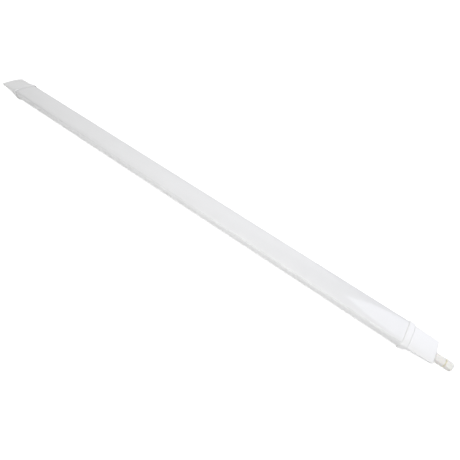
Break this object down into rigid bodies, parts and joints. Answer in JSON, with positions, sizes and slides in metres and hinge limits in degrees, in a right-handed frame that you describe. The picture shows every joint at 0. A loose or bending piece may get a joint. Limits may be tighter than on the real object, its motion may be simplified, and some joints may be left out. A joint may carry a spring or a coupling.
{
  "type": "vapor tight light fixture",
  "caption": "Slim sealed linear light with a milky domed diffuser on a tapered housing, screwed end caps with proud collars, and a cable gland at one end.",
  "frame": {"origin": "centre of the housing's flat back face, half way between the end caps", "axes": "+X along the light towards the cable gland, +Z out of the diffuser, the way the light shines"},
  "size_m": [1.2347, 0.0646, 0.0326],
  "materials": {
    "white_polycarbonate": "satin moulded and extruded polycarbonate",
    "opal_polycarbonate": "glossy milky extruded polycarbonate",
    "natural_nylon": "off-white moulded nylon",
    "cream_silicone": "cream silicone",
    "grey_silicone": "soft grey silicone",
    "black_rubber": "black rubber",
    "white_coated_aluminium": "white coated sheet",
    "zinc_plated_steel": "zinc plated",
    "white_solder_resist": "white solder resist",
    "white_connector": "moulded connector",
    "driver_shell": "moulded shell",
    "green_circuit_board": "green solder resist",
    "ferrite_and_tape": "ferrite core under yellow tape",
    "capacitor_sleeve": "shrunk sleeve",
    "grey_polyamide": "moulded polyamide",
    "orange_polyamide": "moulded polyamide",
    "brown_insulation": "PVC insulation",
    "blue_insulation": "PVC insulation",
    "green_yellow_insulation": "PVC insulation",
    "red_insulation": "PVC insulation",
    "black_insulation": "PVC insulation",
    "tinned_copper": "tinned"
  },
  "bodies": {
    "light": {"board_link": "white_connector", "board_screw_1": "zinc_plated_steel", "board_screw_2": "zinc_plated_steel", "board_screw_3": "zinc_plated_steel", "board_screw_4": "zinc_plated_steel", "diffuser": "opal_polycarbonate", "driver_board": "green_circuit_board", "driver_capacitor": "capacitor_sleeve", "driver_case": "driver_shell", "driver_lid": "driver_shell", "driver_screw_1": "zinc_plated_steel", "driver_screw_2": "zinc_plated_steel", "driver_transformer": "ferrite_and_tape", "earth_screw": "zinc_plated_steel", "earth_tag": "tinned_copper", "entry_cap": "white_polycarbonate", "entry_cap_screw_left": "zinc_plated_steel", "entry_cap_screw_right": "zinc_plated_steel", "entry_collar": "white_polycarbonate", "entry_gasket": "grey_silicone", "far_cap": "white_polycarbonate", "far_cap_screw_left": "zinc_plated_steel", "far_cap_screw_right": "zinc_plated_steel", "far_collar": "white_polycarbonate", "far_gasket": "grey_silicone", "gear_tray": "white_coated_aluminium", "gland_body": "natural_nylon", "gland_locknut": "natural_nylon", "gland_ring": "cream_silicone", "gland_seal": "black_rubber", "gland_washer": "grey_silicone", "housing_base": "white_polycarbonate", "lead_earth": "green_yellow_insulation", "lead_led_minus": "black_insulation", "lead_led_plus": "red_insulation", "lead_live": "brown_insulation", "lead_neutral": "blue_insulation", "led_board_1": "white_solder_resist", "led_board_2": "white_solder_resist", "terminal_block": "grey_polyamide", "terminal_screw": "zinc_plated_steel"},
    "slip": {"slip_ring": "natural_nylon"},
    "nut": {"dome_nut": "natural_nylon"},
    "button_1": {"release_button_1": "orange_polyamide"},
    "button_2": {"release_button_2": "orange_polyamide"},
    "button_3": {"release_button_3": "orange_polyamide"}
  },
  "joints": [
    {"name": "nut_travel", "type": "slide", "parent": "light", "child": "slip", "axis": [1, 0, 0], "range_m": [0, 0.006]},
    {"name": "nut_turn", "type": "hinge", "parent": "slip", "child": "nut", "pos_m": [0.628, 0, 0.0105], "axis": [1, 0, 0], "range_deg": [0, 1440]},
    {"name": "button_1_press", "type": "slide", "parent": "light", "child": "button_1", "axis": [-1, 0, 0], "range_m": [0, 0.0012], "stiffness_N_per_m": 800, "springref_m": -0.0005},
    {"name": "button_2_press", "type": "slide", "parent": "light", "child": "button_2", "axis": [-1, 0, 0], "range_m": [0, 0.0012], "stiffness_N_per_m": 800, "springref_m": -0.0005},
    {"name": "button_3_press", "type": "slide", "parent": "light", "child": "button_3", "axis": [-1, 0, 0], "range_m": [0, 0.0012], "stiffness_N_per_m": 800, "springref_m": -0.0005}
  ],
  "couplings": [
    {"joint": "nut_turn", "follows": "nut_travel", "rad_per_m": 4188.8}
  ]
}
